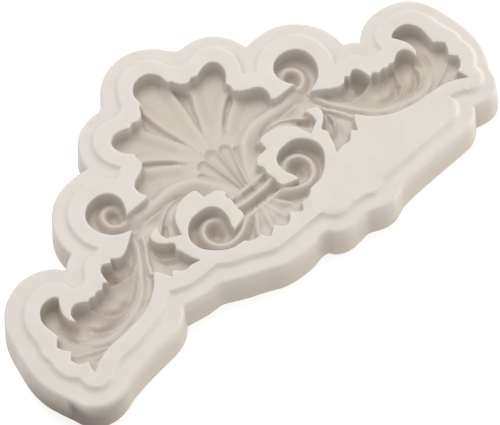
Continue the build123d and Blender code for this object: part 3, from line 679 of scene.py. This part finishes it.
silicone = {
    "light": "#D0CBC3",
    "dark": "#CCC6BD",
    "lightAt": 0.7,
    "darkAt": 0.3,
    "shadeTone": "#C0B7AB",  # painted shade in the sunk crest and on the outer wall
    "cornerShadeTint": "#6E6254",  # dark brown painted shade at the front left corner
    "roughness": 0.52,
    "ior": 1.41,
    "scatter": 0.22,
    "scatterRadius": (4.0, 2.6, 1.7),  # mm, red light travels farthest
    "mottle": 9.0,  # mm, faint patches where the pour was mixed unevenly
    "mottleDetail": 3.0,
    "grain": 0.7,  # mm, coarser than the real skin's so that it shows
    "grainDetail": 4.0,
    "grainHeight": 0.15,  # mm
    "grainShare": 0.12,
}


def castSilicone():
    # Tin-cured casting silicone poured on a smooth master: milky, a soft satin skin and warm shadows
    # where light travels through it.
    material = bpy.data.materials.new("castSilicone")
    material.use_nodes = True
    tree = material.node_tree
    shader = tree.nodes["Principled BSDF"]
    place = addNode(tree, "ShaderNodeTexCoord").outputs["Object"]
    mottle = addNode(tree, "ShaderNodeTexNoise", {"Scale": 1 / (silicone["mottle"] * mm),
                                                  "Detail": silicone["mottleDetail"]}, Vector=place)
    colours = addNode(tree, "ShaderNodeValToRGB", Fac=mottle.outputs["Fac"])
    for element, tone in zip(colours.color_ramp.elements, ("dark", "light")):
        element.color = linearColour(silicone[tone])
        element.position = silicone[tone + "At"]
    # painted shade of the crest and the outer wall, mixed into the colour
    shadeLayer = addNode(tree, "ShaderNodeAttribute", {"attribute_name": "paintedShadeShare"})
    shaded = addNode(tree, "ShaderNodeMix", {"data_type": "RGBA", "clamp_factor": False,
                                            "B": linearColour(silicone["shadeTone"])},
                    Factor=shadeLayer.outputs["Fac"], A=colours.outputs["Color"])
    # painted shade at the front left corner, mixed in dark brown
    cornerShadeLayer = addNode(tree, "ShaderNodeAttribute", {"attribute_name": "cornerShadeTint"})
    cornerShaded = addNode(tree, "ShaderNodeMix", {"data_type": "RGBA", "B": linearColour(silicone["cornerShadeTint"])},
                     Factor=cornerShadeLayer.outputs["Fac"], A=shaded.outputs["Result"])
    tree.links.new(cornerShaded.outputs["Result"], shader.inputs["Base Color"])
    grain = addNode(tree, "ShaderNodeTexNoise", {"Scale": 1 / (silicone["grain"] * mm),
                                                 "Detail": silicone["grainDetail"]}, Vector=place)
    bump = addNode(tree, "ShaderNodeBump", {"Strength": silicone["grainShare"],
                                            "Distance": silicone["grainHeight"] * mm},
                   Height=grain.outputs["Fac"])
    tree.links.new(bump.outputs["Normal"], shader.inputs["Normal"])
    setSockets(shader, {"Roughness": silicone["roughness"], "IOR": silicone["ior"],
                        "Subsurface Weight": silicone["scatter"],
                        "Subsurface Radius": silicone["scatterRadius"], "Subsurface Scale": mm})
    return material


print("cast silicone")
skinMesh.materials.append(castSilicone())
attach(skin, "root")
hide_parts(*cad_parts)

# Sizes of the studio are in metres
studio = {
    "floorSize": 3.0,
    "floorDrop": 0.0002,  # keeps the floor clear of the mould's underside
    "floorColour": "#A8A8A8",
    "floorRoughness": 0.9,
    "glowColour": "#FFFFFF",
    "glow": 0.72,
    "sky": 0.68,
    "softboxes": {  # place, size, power
        "keySoftbox": ((0.22, 0.45, 1.0), (0.75, 0.65), 7.3),
        "lowStrip": ((0.72, -0.35, 0.045), (0.5, 0.06), 3.1),  # skims the floor, lights the front wall
    },
}


def opalAcrylic():
    # Opal acrylic sheet lit from below: even white right up to the mould, with hardly a shadow.
    material = bpy.data.materials.new("opalAcrylic")
    material.use_nodes = True
    setSockets(material.node_tree.nodes["Principled BSDF"], {
        "Base Color": linearColour(studio["floorColour"]), "Roughness": studio["floorRoughness"],
        "Emission Color": linearColour(studio["glowColour"]), "Emission Strength": studio["glow"]})
    return material


def softbox(name, place, size, power):
    lamp = bpy.data.lights.new(name, "AREA")
    lamp.shape = "RECTANGLE"
    lamp.size, lamp.size_y = size
    lamp.energy = power
    box = bpy.data.objects.new(name, lamp)
    box.location = place
    box.rotation_euler = (-Vector(place)).to_track_quat("-Z", "Y").to_euler()
    bpy.context.scene.collection.objects.link(box)


print("floor, lights and camera")
half = studio["floorSize"] / 2
floorCorners = [(-half, -half, 0), (half, -half, 0), (half, half, 0), (-half, half, 0)]
floorMesh = bpy.data.meshes.new("studioFloor")
floorMesh.from_pydata(floorCorners, [], [(0, 1, 2, 3)])
floorMesh.materials.append(opalAcrylic())
studioFloor = bpy.data.objects.new("studioFloor", floorMesh)
studioFloor.location.z = -studio["floorDrop"]
bpy.context.scene.collection.objects.link(studioFloor)

for name, settings in studio["softboxes"].items():
    softbox(name, *settings)

world = bpy.data.worlds.new("studioWorld")
world.use_nodes = True
setSockets(world.node_tree.nodes["Background"], {"Color": (1.0, 1.0, 1.0, 1.0), "Strength": studio["sky"]})
bpy.context.scene.world = world
bpy.context.scene.view_settings.view_transform = "Standard"

view = {
    "back": Vector((-0.3170, -0.3547, 0.8796)),  # from the mould to the camera: front left, high up
    "aim": Vector((-6.75, -3.75, 15.0)) * mm,
    "distance": 1384.8 * mm,
    "lens": 289.4,
    "sensor": 36.0,
    "clip": (0.05, 20.0),
}
lens = bpy.data.cameras.new("camera")
lens.lens, lens.sensor_width = view["lens"], view["sensor"]
lens.clip_start, lens.clip_end = view["clip"]
camera = bpy.data.objects.new("camera", lens)
camera.location = view["aim"] + view["back"] * view["distance"]
camera.rotation_euler = (-view["back"]).to_track_quat("-Z", "Y").to_euler()
bpy.context.scene.collection.objects.link(camera)
bpy.context.scene.camera = camera
